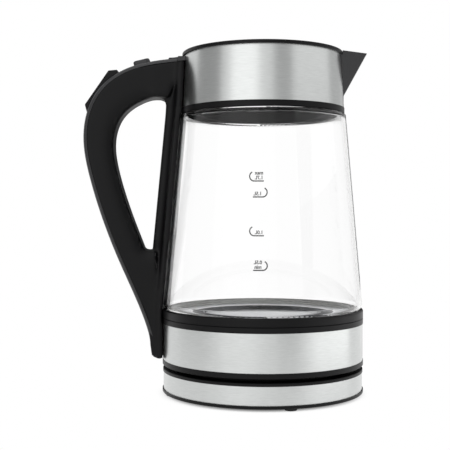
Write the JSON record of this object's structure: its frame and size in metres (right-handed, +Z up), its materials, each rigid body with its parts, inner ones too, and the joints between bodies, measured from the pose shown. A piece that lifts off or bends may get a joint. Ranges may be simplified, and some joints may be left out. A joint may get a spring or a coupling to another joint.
{
  "type": "electric kettle",
  "caption": "Cordless glass electric kettle with black handle, brushed steel bands, hinged lid and a swivel power base.",
  "frame": {"origin": "on the table under the swivel axis of the base", "axes": "+Z up, +X towards the spout, handle towards -X"},
  "size_m": [0.2259, 0.1604, 0.2739],
  "materials": {
    "black_plastic": "satin moulded plastic",
    "spout_plastic": "satin moulded plastic, a little lighter",
    "inner_plastic": "plain moulded plastic",
    "brushed_steel": "brushed round the body",
    "plain_steel": "plain steel",
    "clear_glass": "clear heat-proof glass",
    "silicone": "soft seal",
    "foot_rubber": "matt rubber",
    "brass": "plain brass",
    "aluminium": "cast",
    "wire_cover": "wire covering"
  },
  "bodies": {
    "base": {"base_tray": "black_plastic", "base_band": "brushed_steel", "base_cover": "black_plastic", "base_feet": "foot_rubber", "base_screws": "plain_steel", "cord_gland": "foot_rubber", "base_connector": "inner_plastic", "base_contacts": "brass"},
    "swivel": {"contact_shutter": "inner_plastic"},
    "lid": {"lid_frame": "black_plastic", "lid_cap": "brushed_steel", "lid_seal": "silicone", "lid_spring": "plain_steel"},
    "button": {"lid_button": "black_plastic"},
    "latch": {"latch_slider": "inner_plastic"},
    "rocker": {"power_rocker": "black_plastic"},
    "jug": {"bottom_cover": "black_plastic", "lower_housing": "black_plastic", "glass_seat_ring": "black_plastic", "collar_frame": "black_plastic", "handle_shell": "black_plastic", "handle_cover": "black_plastic", "spout": "spout_plastic", "thermostat_control": "inner_plastic", "steam_switch": "inner_plastic", "spout_filter": "inner_plastic", "lower_band": "brushed_steel", "collar_band": "brushed_steel", "heating_plate": "plain_steel", "heating_element": "plain_steel", "hinge_pin": "plain_steel", "rocker_pin": "plain_steel", "bottom_screws": "plain_steel", "handle_screws": "plain_steel", "latch_spring": "plain_steel", "glass_jar": "clear_glass", "glass_seal": "silicone", "collar_seal": "silicone", "control_contacts": "brass", "heat_spreader": "aluminium", "switch_wires": "wire_cover"}
  },
  "joints": [
    {"name": "jug_swivel", "type": "hinge", "parent": "base", "child": "swivel", "pos_m": [0, 0, 0], "axis": [0, 0, 1], "continuous": true},
    {"name": "jug_lift", "type": "slide", "parent": "swivel", "child": "jug", "axis": [0, 0, 1], "range_m": [0, 0.08]},
    {"name": "lid_hinge", "type": "hinge", "parent": "jug", "child": "lid", "pos_m": [-0.047, 0, 0.2683], "axis": [0, -1, 0], "range_deg": [0, 85]},
    {"name": "button_press", "type": "slide", "parent": "jug", "child": "button", "axis": [0.2334, 0, -0.9724], "range_m": [0, 0.003], "stiffness_N_per_m": 400, "springref_m": -0.001},
    {"name": "latch_slide", "type": "slide", "parent": "jug", "child": "latch", "axis": [-1, 0, 0], "range_m": [0, 0.00222], "deforming": ["latch_spring"]},
    {"name": "rocker_tip", "type": "hinge", "parent": "jug", "child": "rocker", "pos_m": [-0.12441, 0, 0.23756], "axis": [0, 1, 0], "range_deg": [0, 10]}
  ],
  "couplings": [
    {"joint": "latch_slide", "follows": "button_press", "ratio": 0.73893}
  ]
}
